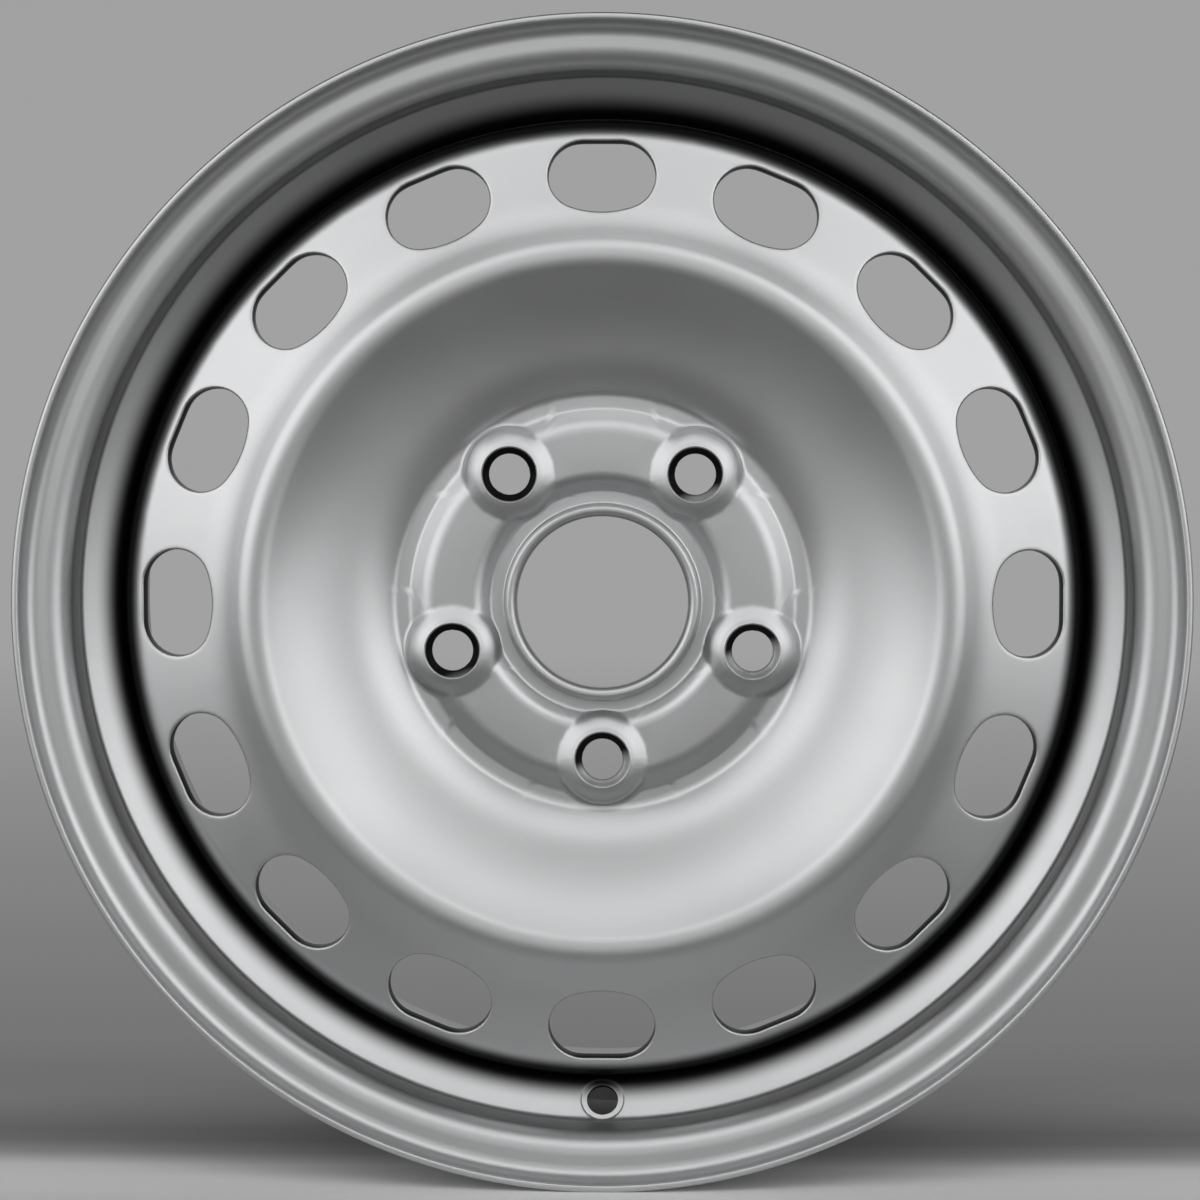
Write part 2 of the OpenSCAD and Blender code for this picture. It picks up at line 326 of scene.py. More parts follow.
def finish_tree(tree, mesh, material):
    """Ends a tree: instances become real, the paint is set and the result goes out."""
    real = add_node(tree, "GeometryNodeRealizeInstances", None, {"Geometry": mesh})
    painted = add_node(tree, "GeometryNodeSetMaterial", None, {"Geometry": real, "Material": material})
    out = tree.nodes.new("NodeGroupOutput")
    tree.links.new(painted.socket, out.inputs[0])


def grown(mesh, tree, values):
    """What a tree makes of a mesh, as a plain mesh."""
    carrier = bpy.data.objects.new(mesh.name, mesh)
    bpy.context.scene.collection.objects.link(carrier)
    modifier = carrier.modifiers.new(tree.name, "NODES")
    modifier.node_group = tree
    for socket in tree.interface.items_tree:
        if socket.in_out == "INPUT" and socket.name in values:
            modifier[socket.identifier] = values[socket.name]
    graph = bpy.context.evaluated_depsgraph_get()
    made = bpy.data.meshes.new_from_object(carrier.evaluated_get(graph))
    carrier.modifiers.remove(modifier)
    bpy.data.objects.remove(carrier)
    return made


def make_turned_tree():
    """Turns an outline, given as loose points in their order, about the axle."""
    tree, given = new_tree("turned_about_axle", {
        "Segments": "Int", "First angle": "Float", "Sweep": "Float", "Material": "Material"})
    outline = given["Geometry"]
    count = outline.node("GeometryNodeAttributeDomainSize", {"component": "MESH"}, {0: outline})
    columns = given["Segments"] + 1
    sheet = outline.node("GeometryNodeMeshGrid", None, {"Vertices X": columns, "Vertices Y": count})
    index = outline.node("GeometryNodeInputIndex")
    column = (index / count).math("FLOOR", index / count)
    row = index - column * count
    place = outline.node("GeometryNodeInputPosition")
    taken = outline.node(
        "GeometryNodeSampleIndex", {"data_type": "FLOAT_VECTOR", "domain": "POINT"},
        {"Geometry": outline, "Value": place, "Index": row})
    angle = given["First angle"] + given["Sweep"] * column / given["Segments"]
    turned = outline.node(
        "ShaderNodeVectorRotate", {"rotation_type": "Y_AXIS"}, {"Vector": taken, "Angle": angle * -1})
    moved = outline.node("GeometryNodeSetPosition", None, {"Geometry": sheet, "Position": turned})
    finish_tree(tree, moved, given["Material"])
    return tree


def make_repeat_tree():
    """Repeats a sector of the wheel round the axle."""
    tree, given = new_tree("repeated_round_axle", {
        "Count": "Int", "First angle": "Float", "Material": "Material"})
    sector = given["Geometry"]
    points = sector.node("GeometryNodeMeshLine", None, {"Count": given["Count"], "Offset": (0, 0, 0)})
    index = sector.node("GeometryNodeInputIndex")
    angle = (given["First angle"] + index * TURN / given["Count"]) * -1
    turn = sector.node("ShaderNodeCombineXYZ", None, {"Y": angle})
    copies = sector.node(
        "GeometryNodeInstanceOnPoints", None, {"Points": points, "Instance": sector, "Rotation": turn})
    finish_tree(tree, copies, given["Material"])
    return tree


turned_tree = make_turned_tree()
repeat_tree = make_repeat_tree()


def turned(name, sheet, places, paint, first=0.0, sweep=TURN, least_r=0.0):
    """A surface of revolution through places (s, w) of a sheet, bored out to a least radius."""
    r, h = sheet.at(*np.array(places, float).T)
    outline = bpy.data.meshes.new(name)
    outline.from_pydata(stand(np.maximum(r, least_r), h, 0.0), [], [])
    return grown(outline, turned_tree, {
        "Segments": round(sweep / STEP), "First angle": first, "Sweep": sweep, "Material": paint})


def repeated(mesh, count, first, paint):
    return grown(mesh, repeat_tree, {"Count": count, "First angle": first, "Material": paint})


class SilverPaint:
    """Silver sprayed and baked: fine flake, a faint orange peel, duller and glossier
    clouds. Black is painted in as shade where hollows, gaps and hole walls lie in shadow."""

    SHADE_BLACK = (0.012, 0.012, 0.013, 1)

    def __init__(self, name):
        self.material = bpy.data.materials.new(name)
        self.material.use_nodes = True
        self.tree = self.material.node_tree
        self.place = add_node(self.tree, "ShaderNodeTexCoord", out="Object")
        x, y, z = (self.place.node("ShaderNodeSeparateXYZ", None, {0: self.place}, axis) for axis in "XYZ")
        self.x, self.z, self.h = x / MM, z / MM, y / -MM
        self.r = self.x.hypot(self.z)
        self.painted_shade = None

    def paint_shade(self, where):
        self.painted_shade = where if self.painted_shade is None else where.math("MAXIMUM", where, self.painted_shade)

    def noise(self, scale, detail):
        values = {"Vector": self.place, "Scale": scale, "Detail": detail}
        return self.place.node("ShaderNodeTexNoise", None, values)

    def bake(self, dark, pale):
        clouds = self.noise(24, 3)
        flake = self.noise(5200, 1)
        shade = (flake - 0.5) * 0.10 + (clouds - 0.5) * 0.05 + 0.5
        colour = self.place.node("ShaderNodeValToRGB", {"stops": [(0.3, dark), (0.7, pale)]}, {"Fac": shade})
        rough = 0.34 + clouds * 0.10 + flake * 0.04
        peel = self.noise(420, 2) * 0.8 + self.noise(1500, 1) * 0.2
        bump = self.place.node(
            "ShaderNodeBump", None, {"Strength": 0.12, "Distance": 0.00025, "Height": peel})
        # Painted shade: black mixed into the colour wherever a shade mask is set
        if self.painted_shade is not None:
            colour = self.place.node(
                "ShaderNodeMix", {"data_type": "RGBA"},
                {0: self.painted_shade, 6: colour, 7: self.SHADE_BLACK}, 2)
        shader = self.tree.nodes["Principled BSDF"]
        for name, wire in {"Base Color": colour, "Roughness": rough, "Normal": bump}.items():
            self.tree.links.new(wire.socket, shader.inputs[name])
        shader.inputs["Metallic"].default_value = 0.92


silver_paint = SilverPaint("silver_paint")
silver = silver_paint.material


def add_piece(name, mesh, material, slot, *nodes):
    """Puts a finished mesh in the scene as the piece that stands for these nodes."""
    mesh.materials.clear()
    mesh.materials.append(material)
    piece = bpy.data.objects.new(name, mesh)
    bpy.context.scene.collection.objects.link(piece)
    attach(piece, "root")
    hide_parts(*nodes)
    return piece


def round_the_end(sheet, rows, t, radius):
    """Places along the left face of a sheet, round its far edge and back along the right face."""
    edge = sheet_edge(sheet.length, 1, t, radius)
    return [(s, t / 2) for s in rows] + edge[1:-1] + [(s, -t / 2) for s in rows[::-1]]


def round_the_start(sheet, rows, t, radius):
    """Places back along the right face of a sheet, round its near edge and along the left face."""
    edge = sheet_edge(0, -1, t, radius)[::-1]
    return [(s, -t / 2) for s in rows[::-1]] + edge[1:-1] + [(s, t / 2) for s in rows]


def columns_between(first, last):
    """Angles of the wheel's segments from one to another, both whole numbers of them."""
    return np.linspace(first, last, round((last - first) / STEP) + 1)


def window_border(rows, columns):
    """Length and angle of the places round a window in a sheet, one for each row and column."""
    return np.concatenate([
        [(rows[0], a) for a in columns[:-1]],
        [(s, columns[-1]) for s in rows[:-1]],
        [(rows[-1], a) for a in columns[:0:-1]],
        [(s, columns[0]) for s in rows[:0:-1]],
    ]).T


def mixed(a, b, share):
    return a + (b - a) * share


def smooth_max(a, b, k):
    """The larger of two heights, with a fillet where they come closer than k."""
    return np.maximum(a, b) + np.maximum(k - np.abs(a - b), 0) ** 2 / (4 * k)


RING_SHARES = (1, 0.85, 0.7, 0.55, 0.4, 0.27, 0.15, 0.06)
EDGE_R = 1.0
VALVE_ANGLE = math.radians(270)
VALVE_WINDOW = 4 * STEP
valve_hole_r = mounts["valve_hole"]["dims"]["r_mm"]
valve_flat_r = 8
valve_flat_depth = 0.4
valve_flat_side = 1.2
valve_edge = 0.45

rim_sheet = BentSheet(rim_route)
wall_top_bend_at, wall_top, wall_low, wall_foot_end = rim_sheet.stations[7:11]
window_start, window_end = wall_top_bend_at - 3, wall_foot_end + 1
rim_inboard = rim_sheet.rows(window_end, rim_sheet.length - EDGE_R, 8, 16)
rim_outboard = rim_sheet.rows(EDGE_R, window_start, 6, 12)
wall_rows = rim_sheet.rows(window_start, window_end, 7, 2.5)

valve_rh = np.array([(hump_r + well_mid_r) / 2, (hump_at + wall_foot) / 2])
valve_s = wall_top + np.linalg.norm(valve_rh - rim_sheet.at(wall_top, 0))
along = np.subtract(rim_sheet.at(wall_low, 0), rim_sheet.at(wall_top, 0))
along /= np.linalg.norm(along)
valve_centre = stand(*valve_rh, VALVE_ANGLE)
valve_axes = np.array([
    stand(*along, VALVE_ANGLE) / MM,
    stand(1, 0, VALVE_ANGLE + math.pi / 2) / MM,
    stand(along[1], -along[0], VALVE_ANGLE) / MM,
])


def pressed_flat(points):
    """The wall's outboard face with the flat pressed in round the valve hole."""
    local = (points - valve_centre) @ valve_axes.T / MM
    off = np.hypot(local[:, 0], local[:, 1])
    floor_height = rim_t / 2 - valve_flat_depth + valve_flat_side * np.maximum(off - valve_flat_r, 0)
    local[:, 2] = -smooth_max(-local[:, 2], -floor_height, 0.3)
    return valve_centre + local * MM @ valve_axes


def on_rim(s, angle, w):
    return stand(*rim_sheet.at(s, w), angle)


def valve_ring(bearing, radius):
    """Length and angle of the places on a circle round the valve hole."""
    s = valve_s + radius * np.cos(bearing)
    r, _ = rim_sheet.at(s, 0)
    return s, VALVE_ANGLE + np.arcsin(radius * np.sin(bearing) / r)


def valve_window():
    """The wall round the valve: its outboard face, the hole with rolled edges, and the tyre's side."""
    edge_s, edge_a = window_border(
        wall_rows, columns_between(VALVE_ANGLE - VALVE_WINDOW, VALVE_ANGLE + VALVE_WINDOW))
    r_mid, _ = rim_sheet.at(valve_s, 0)
    bearing = np.arctan2((edge_a - VALVE_ANGLE) * r_mid, edge_s - valve_s)
    half = rim_t / 2
    loops = []
    for side, widest in ((-half, valve_flat_r + 1.1), (half, valve_hole_r + 3)):
        near_s, near_a = valve_ring(bearing, widest)
        rings = [
            on_rim(mixed(near_s, edge_s, share), mixed(near_a, edge_a, share), side)
            for share in RING_SHARES
        ]
        for radius in np.linspace(widest, valve_hole_r + valve_edge, 9 if side < 0 else 3):
            rings.append(on_rim(*valve_ring(bearing, radius), side))
        if side < 0:
            rings = rings[:1] + [pressed_flat(ring) for ring in rings[1:]]
        top = side + math.copysign(valve_flat_depth, -side) * (side < 0)
        for turn in np.linspace(0, math.pi / 2, 4)[1:]:
            depth = top - math.copysign(valve_edge * (1 - math.cos(turn)), side)
            rings.append(on_rim(*valve_ring(bearing, valve_hole_r + valve_edge * (1 - math.sin(turn))), depth))
        loops += rings if side < 0 else rings[::-1]
    return Skin().grid(np.array(loops), ring=True).mesh("valve_window")


# Painted shade: the valve hole's wall is painted black, so the hole shows as a dark, shadowed opening
from_valve = silver_paint.place.offset_from(valve_centre)
valve_off = (from_valve.dot(valve_axes[0]) / MM).hypot(from_valve.dot(valve_axes[1]) / MM)
valve_depth = from_valve.dot(valve_axes[2]).hypot(0) / MM
silver_paint.paint_shade(valve_off.fade(valve_hole_r + valve_edge, valve_hole_r) * valve_depth.fade(4, 3))

open_sweep = TURN - 2 * VALVE_WINDOW
after_window = VALVE_ANGLE + VALVE_WINDOW
rim_mesh = Skin.welded("rim_steel", [
    turned("rim_inboard", rim_sheet, round_the_end(rim_sheet, rim_inboard, rim_t, EDGE_R), silver),
    turned("rim_outboard", rim_sheet, round_the_start(rim_sheet, rim_outboard, rim_t, EDGE_R), silver),
    *[
        turned("rim_wall", rim_sheet, [(s, w) for s in wall_rows], silver, after_window, open_sweep)
        for w in (rim_t / 2, -rim_t / 2)
    ],
    valve_window(),
])
add_piece("rim_steel", rim_mesh, silver, "silver_paint", "rim")

# Disc
# One 5 mm blank, drawn to a dish: a collar round the bore, a raised bolt pad with five bosses that
# are hollow behind, the bowl and its crown, and a tilted ring with sixteen punched vents. Its
# skirt is pressed into the drop centre.
disc_t = 5
hub_offset = 51
bore_r = mounts["centre_bore"]["dims"]["r_mm"]
bore_cut = 1.6
collar_h = 6
collar_lean = 2.4
collar_bend = 3.6
groove_w = 10
bolt_count = mounts["bolt_circle"]["dims"]["count"]
bolt_r = mounts["bolt_circle"]["dims"]["pcd_mm"] / 2
pad_rise = 4
pad_flank_in = 5
pad_top_out = 6.2
pad_flank_out = 6.6
pad_bend = 5
pad_edge_bend = 8
valley_w = 7
valley_bend = 7
bowl_foot_w = 8.2
bowl_foot_rise = 5.7
bowl_foot_bend = 42
bowl_rise = 13
bowl_bend = 100
crown_slope_w = 17.5
crown_in = 13.4
crown_rise = 23.6
crown_bend = 9
ring_w = 35
ring_tilt = math.radians(13)
ring_bend = 45
shoulder_rise = 9.8
shoulder_bend = 8.5
skirt_grip = 27

hub_mid = hub_offset + disc_t / 2
hub_front = hub_offset + disc_t
collar_r = bore_r - bore_cut + disc_t / 2
pad_foot_r = collar_r + groove_w
pad_edge_r = bolt_r + pad_top_out
valley_r = pad_edge_r + pad_flank_out
bowl_r = valley_r + valley_w
skirt_r = well_mid_r - rim_t / 2 - disc_t / 2
crown_r = skirt_r - ring_w - crown_in
shoulder_at = wall_foot + shoulder_rise
disc_route = [
    (collar_r + collar_lean, hub_front + collar_h, 0),
    (collar_r, hub_mid, collar_bend),
    (pad_foot_r, hub_mid, pad_bend),
    (pad_foot_r + pad_flank_in, hub_mid + pad_rise, pad_bend),
    (pad_edge_r, hub_mid + pad_rise, pad_edge_bend),
    (valley_r, hub_mid, pad_bend),
    (bowl_r, hub_mid, valley_bend),
    (bowl_r + bowl_foot_w, hub_mid + bowl_foot_rise, bowl_foot_bend),
    (crown_r - crown_slope_w, hub_mid + bowl_rise, bowl_bend),
    (crown_r, hub_mid + crown_rise, crown_bend),
    (skirt_r - ring_w, shoulder_at + ring_w * math.tan(ring_tilt), ring_bend),
    (skirt_r, shoulder_at, shoulder_bend),
    (skirt_r, wall_foot - skirt_grip, 0),
]
disc_sheet = BentSheet(disc_route)
front, back = disc_t / 2, -disc_t / 2

# Painted shade: black in the crevice between the shoulder and the rim's wall, where shadow falls
shoulder_r = skirt_r - shoulder_bend
shoulder_h = shoulder_at - shoulder_bend * math.tan(math.radians(45) - ring_tilt / 2)
over_wall = (silver_paint.r - well_mid_r) * along[1] - (silver_paint.h - wall_foot) * along[0]
on_shoulder = (silver_paint.r - shoulder_r).hypot(silver_paint.h - shoulder_h)
across_crevice = silver_paint.r.fade(skirt_r - 5, skirt_r) * silver_paint.r.fade(skirt_r + 14, skirt_r + 5.5)
in_crevice = over_wall.fade(-0.5, 0.5) * silver_paint.h.fade(48, 51)
silver_paint.paint_shade(across_crevice * in_crevice * on_shoulder.fade(shoulder_bend - 0.5, shoulder_bend + 1))


def on_disc(s, angle, w):
    return stand(*disc_sheet.at(s, w), angle)


# Vents
# Sixteen holes punched square through the tilted ring: flat with round corners at the outer edge,
# one large arc at the inner edge, a rolled edge in front and a burr-free one behind.
vent_count = 16
vent_in = 19.6
vent_w = 40.4
vent_h = 27.6
vent_corner = 13.2
vent_edge = 0.8
vent_back_edge = 0.35
vent_r = skirt_r - vent_in
vent_s = disc_sheet.length_at(vent_r)
shoulder_start, shoulder_end = disc_sheet.stations[-3:-1]
vent_rows = disc_sheet.rows(
    disc_sheet.length_at(skirt_r - ring_w - 4), mixed(shoulder_start, shoulder_end, 0.4), 6, 3.6)


def vent_outline(bearing):
    """Places and outward normals round a vent, at bearings seen from its middle."""
    top, side = vent_h / 2 - vent_corner, vent_w / 2 - vent_corner
    arc_at = side * side / (4 * top)
    arc_r = arc_at + vent_h / 2
    meet = math.atan2(side, top - arc_at)
    corner = np.linspace(0, meet, 60)
    inner_arc = np.linspace(meet, math.pi, 60)
    level = np.linspace(0, side, 9)[:-1]
    half = np.concatenate([
        np.stack([np.full(8, vent_h / 2), level, np.ones(8), np.zeros(8)], 1),
        np.stack([
            top + vent_corner * np.cos(corner), side + vent_corner * np.sin(corner),
            np.cos(corner), np.sin(corner)], 1),
        np.stack([
            arc_at + arc_r * np.cos(inner_arc), arc_r * np.sin(inner_arc),
            np.cos(inner_arc), np.sin(inner_arc)], 1)[1:],
    ])
    half_bearing = np.arctan2(half[:, 1], half[:, 0])
    found = [np.interp(np.abs(bearing), half_bearing, half[:, i]) for i in range(4)]
    mirror = np.sign(bearing)
    return found[0], found[1] * mirror, found[2], found[3] * mirror


def vent_window():
    edge_s, edge_a = window_border(
        vent_rows, columns_between(-math.pi / vent_count, math.pi / vent_count))
    x, y, out_x, out_y = vent_outline(np.arctan2(edge_a * vent_r, edge_s - vent_s))

    def place(offset):
        across = vent_r + (x + out_x * offset) * math.cos(ring_tilt)
        off = y + out_y * offset
        return disc_sheet.length_at(np.hypot(across, off)), np.arctan2(off, across)

    loops = []
    for face, radius in ((front, vent_edge), (back, vent_back_edge)):
        near_s, near_a = place(radius + 1)
        rings = [
            on_disc(mixed(near_s, edge_s, share), mixed(near_a, edge_a, share), face)
            for share in (RING_SHARES if face > 0 else RING_SHARES[::2])
        ]
        rings.append(on_disc(near_s, near_a, face))
        for turn in np.linspace(0, math.pi / 2, 5 if face > 0 else 3):
            depth = face - math.copysign(radius * (1 - math.cos(turn)), face)
            rings.append(on_disc(*place(radius * (1 - math.sin(turn))), depth))
        loops += rings if face > 0 else rings[::-1]
    return Skin().grid(np.array(loops), ring=True).mesh("vent")


# Painted shade: the punched walls of the vents are painted black, as they lie in shadow
ring_front = (skirt_r - silver_paint.r) * math.tan(ring_tilt) + shoulder_at + front / math.cos(ring_tilt)
under_front = ring_front - silver_paint.h
in_sheet = under_front.fade(0.5, 1.0) * under_front.fade(disc_t - 0.1, disc_t - 0.6)
silver_paint.paint_shade(in_sheet * silver_paint.r.fade(150, 153) * silver_paint.r.fade(175.2, 174.4))

# Bolt seats
# Five bosses are drawn up round the bolt holes, with ball seats on top for the bolts' collars and
# a hollow behind each, and they break the pad's flanks and the valley beside them.
bolt_hole_r = mounts["bolt_circle"]["dims"]["hole_r_mm"]
ball_r = 14
seat_mouth_r = 10.7
boss_h = 2.6
boss_land = 1.2
boss_foot_r = 17.3
hollow_r = 12.5
hollow_roof_r = 10
hollow_depth = 2.6
boss_window = 20 * STEP
boss_rows = disc_sheet.rows(disc_sheet.length_at(40.2), disc_sheet.length_at(84), 7, 8)
pad_front = hub_front + pad_rise
pad_back = hub_offset + pad_rise
seat_top = pad_front + boss_h
roof_at = pad_back + hollow_depth
ball_at = seat_top + math.sqrt(ball_r ** 2 - seat_mouth_r ** 2)


def ramp(x, softness):
    return (x + np.hypot(x, softness)) / 2


def boss_height(off):
    """Height of a boss at a distance from its axis: a land, a sloping flank and a steep foot."""
    return seat_top - 0.48 * ramp(off - seat_mouth_r - boss_land, 1.0) - 3.0 * ramp(off - boss_foot_r, 1.0)


def face_height(r, w):
    """Height of one face of the plain pressing at a radius."""
    line_r, line_h = disc_sheet.at(disc_sheet.s, w)
    runs = (disc_sheet.s > disc_sheet.stations[1] - 0.01) & (disc_sheet.s < disc_sheet.stations[-3])
    return np.interp(r, line_r[runs], line_h[runs])


def boss_window_mesh():
    edge_s, edge_a = window_border(boss_rows, columns_between(-boss_window, boss_window))
    edges = {}
    for face in (front, back):
        r, h = disc_sheet.at(edge_s, face)
        edges[face] = np.array([r * np.cos(edge_a) - bolt_r, r * np.sin(edge_a)]), h
    bearing = np.arctan2(edges[front][0][1], edges[front][0][0])
    ways = np.array([np.cos(bearing), np.sin(bearing)])

    def ring(place, height):
        return stand(np.hypot(bolt_r + place[0], place[1]), height, np.arctan2(place[1], bolt_r + place[0]))

    def drawn(place, face):
        r = np.hypot(bolt_r + place[0], place[1])
        plain = face_height(r, face)
        return smooth_max(plain, boss_height(np.hypot(*place)), 1.8) if face > 0 else plain

    widest = boss_foot_r + 1.9
    loops = []
    for face in (front, back):
        border, border_h = edges[face]
        rings = [stand(np.hypot(bolt_r + border[0], border[1]), border_h, edge_a)]
        for share in np.linspace(1, 0, 14 if face > 0 else 6)[1:-1]:
            place = mixed(widest * ways, border, share)
            rings.append(ring(place, drawn(place, face)))
        reach = seat_mouth_r + 0.5 if face > 0 else hollow_r + 0.1
        for off in np.linspace(widest, reach, 11 if face > 0 else 3):
            rings.append(ring(off * ways, drawn(off * ways, face)))
        loops.append(rings)
    seat = [(off, ball_at - math.sqrt(ball_r ** 2 - off ** 2))
            for off in np.linspace(seat_mouth_r - 0.3, bolt_hole_r + 0.2, 6)]
    hollow = [
        (seat_mouth_r + 0.1, seat_top - 0.1), *seat,
        (bolt_hole_r, seat[-1][1] - 0.3), (bolt_hole_r, roof_at + 0.6), (bolt_hole_r, roof_at + 0.2),
        (bolt_hole_r + 0.2, roof_at), (hollow_roof_r - 0.4, roof_at), (hollow_roof_r + 0.1, roof_at - 0.15),
        (hollow_r - 0.3, pad_back + 0.3), (hollow_r, pad_back - 0.1), (hollow_r, pad_back - 0.5),
    ]
    middle = [ring(off * ways, np.full(len(bearing), height)) for off, height in hollow]
    return Skin().grid(np.array(loops[0] + middle + loops[1][::-1]), ring=True).mesh("boss")


# Painted shade: black painted into most of each ball seat as its shadow, heaviest on its upper side and on the
# seats to the left
bolt_first = math.radians(270)
for i in range(bolt_count):
    bolt_x = bolt_r * math.cos(bolt_first + TURN * i / bolt_count)
    bolt_z = bolt_r * math.sin(bolt_first + TURN * i / bolt_count)
    off_x, off_z = silver_paint.x - bolt_x, silver_paint.z - bolt_z
    in_seat = off_x.hypot(off_z).fade(seat_mouth_r - 0.1, seat_mouth_r - 0.7) * silver_paint.h.fade(58, 58.4)
    seat_shade_bias = 0.7 + 0.01 * (bolt_z - bolt_x)
    silver_paint.paint_shade(in_seat * (off_z * 0.1 - off_x * 0.03 + seat_shade_bias).fade(-0.2, 0.3))

silver_paint.bake((0.47, 0.475, 0.48, 1), (0.56, 0.565, 0.57, 1))


def between_bosses():
    """The plain stretch of pad from one boss's window to the next, both faces."""
    columns = columns_between(boss_window, TURN / bolt_count - boss_window)
    made = Skin()
    for face in (front, back):
        made.grid(np.array([on_disc(s, columns, face) for s in boss_rows]))
    return made.mesh("pad")


collar_rows = disc_sheet.rows(disc_t / 2 - 0.1, boss_rows[0], 11, 6)
bowl_rows = {
    front: disc_sheet.rows(boss_rows[-1], vent_rows[0], 5, 6),
    back: disc_sheet.rows(boss_rows[-1], vent_rows[0], 9, 12),
}
skirt_rows = disc_sheet.rows(vent_rows[-1], disc_sheet.length - EDGE_R, 9, 20)
disc_mesh = Skin.welded("disc_steel", [
    turned("collar", disc_sheet, round_the_start(disc_sheet, collar_rows, disc_t, disc_t / 2 - 0.1), silver,
           least_r=bore_r),
    *[turned("bowl", disc_sheet, [(s, face) for s in rows], silver) for face, rows in bowl_rows.items()],
    turned("skirt", disc_sheet, round_the_end(disc_sheet, skirt_rows, disc_t, EDGE_R), silver),
    repeated(vent_window(), vent_count, math.radians(90), silver),
    repeated(boss_window_mesh(), bolt_count, math.radians(270), silver),
    repeated(between_bosses(), bolt_count, math.radians(270), silver),
])
add_piece("disc_steel", disc_mesh, silver, "silver_paint", "disc")

# Weld seams
# Eight fillet welds join the skirt's inboard edge to the drop centre. Each was laid in one pass, so
# its face has the ripples of the moving pool, and it was painted over with the wheel.
weld_paint = SilverPaint("painted_weld")
weld_paint.bake((0.43, 0.435, 0.44, 1), (0.52, 0.525, 0.53, 1))
silver_weld = weld_paint.material
weld_count = 8
weld_l = 64
weld_leg = 4.6
weld_bulge = 0.8
ripple_l = 2.1
ripple_h = 0.22
skirt_end = wall_foot - skirt_grip
well_inner_r = well_mid_r - rim_t / 2


def weld_bead():
    """One seam: its rippled face from toe to toe, closed along the corner that it fills."""
    along_seam = np.linspace(-weld_l / 2, weld_l / 2, 181)
    angle = along_seam / well_inner_r
    nearness = np.clip((weld_l / 2 - np.abs(along_seam)) / 3.5, 0, 1)
    leg = (weld_leg - 0.35) * (0.35 + 0.65 * np.sqrt(1 - (1 - nearness) ** 2))
    rows = []
    for share in np.linspace(0, 1, 13):
        crest = math.sin(math.pi * share)
        lag = 0.9 * crest
        ripple = ripple_h * crest * np.cos(TURN * (along_seam - lag) / ripple_l)
        bulge = (weld_bulge * crest - ripple_h * crest + ripple * 0.9) * leg / weld_leg
        r = well_inner_r - leg * share - bulge * math.sqrt(0.5)
        h = skirt_end - leg * (1 - share) - bulge * math.sqrt(0.5)
        rows.append(stand(r, h, angle))
    corner = stand(np.full(181, well_inner_r), skirt_end, angle)
    closed = Skin().grid(np.array([corner, *rows, corner]))
    for end in (0, -1):
        closed.grid(np.array([[row[end] for row in rows], [corner[end]] * len(rows)]))
    return closed.mesh("bead")


weld_mesh = Skin.welded(
    "weld_seams", [repeated(weld_bead(), weld_count, math.radians(90) + math.pi / weld_count, silver_weld)])
add_piece("weld_seams", weld_mesh, silver_weld, "painted_weld", *[f"weld_{i + 1}" for i in range(weld_count)])

# Stage
# A pale floor with painted shade that glows into a plain backdrop, soft studio lamps above and beside the wheel,
# and the camera in front of its outboard face, a little above the axle and a little to the right.
FLOOR_REACH = 6.0
BACKDROP = (0.36, 0.36, 0.36, 1)
NIGHT = (0.03, 0.03, 0.03, 1)

floor_mesh = bpy.data.meshes.new("floor")
floor_z = cad_box[0].z
corners = [(-1, -1), (1, -1), (1, 1), (-1, 1)]
floor_mesh.from_pydata([(x * FLOOR_REACH, y * FLOOR_REACH, floor_z) for x, y in corners], [], [(0, 1, 2, 3)])
floor = bpy.data.objects.new("floor", floor_mesh)
bpy.context.scene.collection.objects.link(floor)


def grey(value):
    return value, value, value, 1


def floor_paper():
    """Pale paper with painted shade: darker towards the camera, and a painted contact shadow just behind the
    wheel. Behind the wheel and far in front it glows as painted light, dimmer near the wheel, ending in the
    backdrop's plain grey.
    """
    paper = bpy.data.materials.new("floor_paper")
    paper.use_nodes = True
    tree = paper.node_tree
    shader = tree.nodes["Principled BSDF"]
    place = add_node(tree, "ShaderNodeTexCoord", out="Object")
    depth = place.node("ShaderNodeSeparateXYZ", None, {0: place}, "Y") / FLOOR_REACH + 0.5
    # Painted shade: the paper darkens towards the camera, and a dark band just behind the wheel is a painted
    # contact shadow
    tone = {"stops": [
        (0.458, grey(0.15)), (0.4853, grey(0.95)), (0.492, grey(0.9)), (0.4967, grey(0.4)),
        (0.5017, grey(0.25)), (0.51, grey(0.42)), (0.517, grey(0.55))]}
    shade = depth.node("ShaderNodeValToRGB", tone, {"Fac": depth})
    tree.links.new(shade.socket, shader.inputs["Base Color"])
    shader.inputs["Roughness"].default_value = 0.8
    # Painted light: the floor glows behind the wheel, dimmer near it, and far in front, where it lights the
    # wheel's lower faces
    far_tone = {"stops": [
        (0.2, BACKDROP), (0.51, grey(0.14)), (0.54, grey(0.18)), (0.62, grey(0.225)), (0.9, BACKDROP)]}
    far_shade = depth.node("ShaderNodeValToRGB", far_tone, {"Fac": depth})
    glow = place.node("ShaderNodeEmission", None, {"Color": far_shade})
    near = Wire(tree, shader.outputs[0])
    far = depth.fade(0.51, 0.53) + depth.fade(0.36, 0.2)
    mix = place.node("ShaderNodeMixShader", None, {0: far, 1: near, 2: glow})
    tree.links.new(mix.socket, tree.nodes["Material Output"].inputs["Surface"])
    return paper


floor_mesh.materials.append(floor_paper())


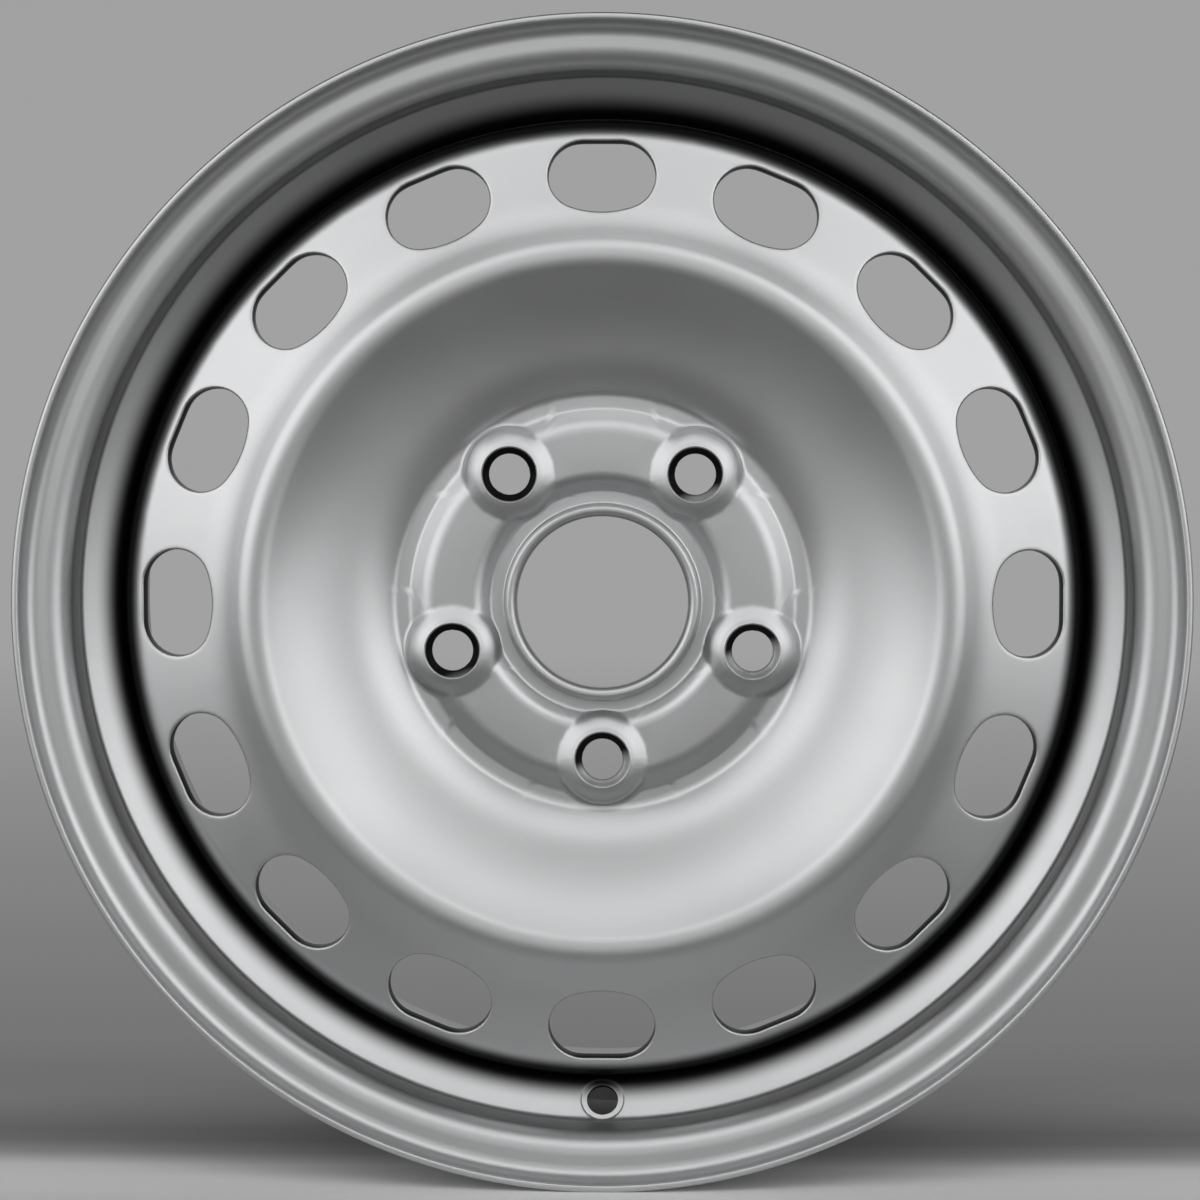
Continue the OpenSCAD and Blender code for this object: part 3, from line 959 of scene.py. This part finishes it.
def soft_lamp(name, place, size, watts):
    """A rectangular lamp that looks at the wheel's centre."""
    lamp = bpy.data.lights.new(name, "AREA")
    lamp.shape = "RECTANGLE"
    lamp.size, lamp.size_y = size
    lamp.energy = watts
    holder = bpy.data.objects.new(name, lamp)
    holder.location = place
    holder.rotation_euler = (-Vector(place)).to_track_quat("-Z", "Y").to_euler()
    bpy.context.scene.collection.objects.link(holder)


soft_lamp("lamp_top", (0, -1.25, 1.2), (1.2, 1.0), 5.8)
soft_lamp("lamp_left", (-1.1, -1.25, 0.5), (1.2, 1.5), 10.5)
soft_lamp("lamp_right", (1.05, -1.25, 0.5), (1.1, 1.5), 10)
soft_lamp("lamp_front", (0, -2.6, 0.3), (2.2, 1.6), 4.2)
soft_lamp("lamp_back", (0, 1.9, 0.9), (2.0, 1.2), 4.5)

world = bpy.data.worlds.new("studio")
world.use_nodes = True
bpy.context.scene.world = world
sky = world.node_tree
way = add_node(sky, "ShaderNodeTexCoord", out="Generated")
height = add_node(sky, "ShaderNodeSeparateXYZ", None, {0: way}, "Z")
shade = height.node("ShaderNodeValToRGB", {"stops": [(0.12, BACKDROP), (0.42, NIGHT)]}, {"Fac": height})
sky.links.new(shade.socket, sky.nodes["Background"].inputs["Color"])

CAMERA_DISTANCE = 1.5
CAMERA_RISE = math.radians(3.8)
CAMERA_SIDE = math.radians(1.5)
AIM_OVER_AXLE = 0.003
LIP_RADIUS_PX, FRAME_PX = 592, 1200
aim = Vector((0, cad_box[0].y, AIM_OVER_AXLE))
toward = Vector((
    math.sin(CAMERA_SIDE) * math.cos(CAMERA_RISE),
    -math.cos(CAMERA_SIDE) * math.cos(CAMERA_RISE),
    math.sin(CAMERA_RISE)))
camera_data = bpy.data.cameras.new("camera")
camera_data.sensor_width = 36
camera_data.lens = camera_data.sensor_width * CAMERA_DISTANCE * LIP_RADIUS_PX / FRAME_PX / cad_box[1].x
camera = bpy.data.objects.new("camera", camera_data)
camera.location = aim + toward * CAMERA_DISTANCE
camera.rotation_euler = (-toward).to_track_quat("-Z", "Y").to_euler()
bpy.context.scene.collection.objects.link(camera)
bpy.context.scene.camera = camera
bpy.context.scene.view_settings.view_transform = "Standard"
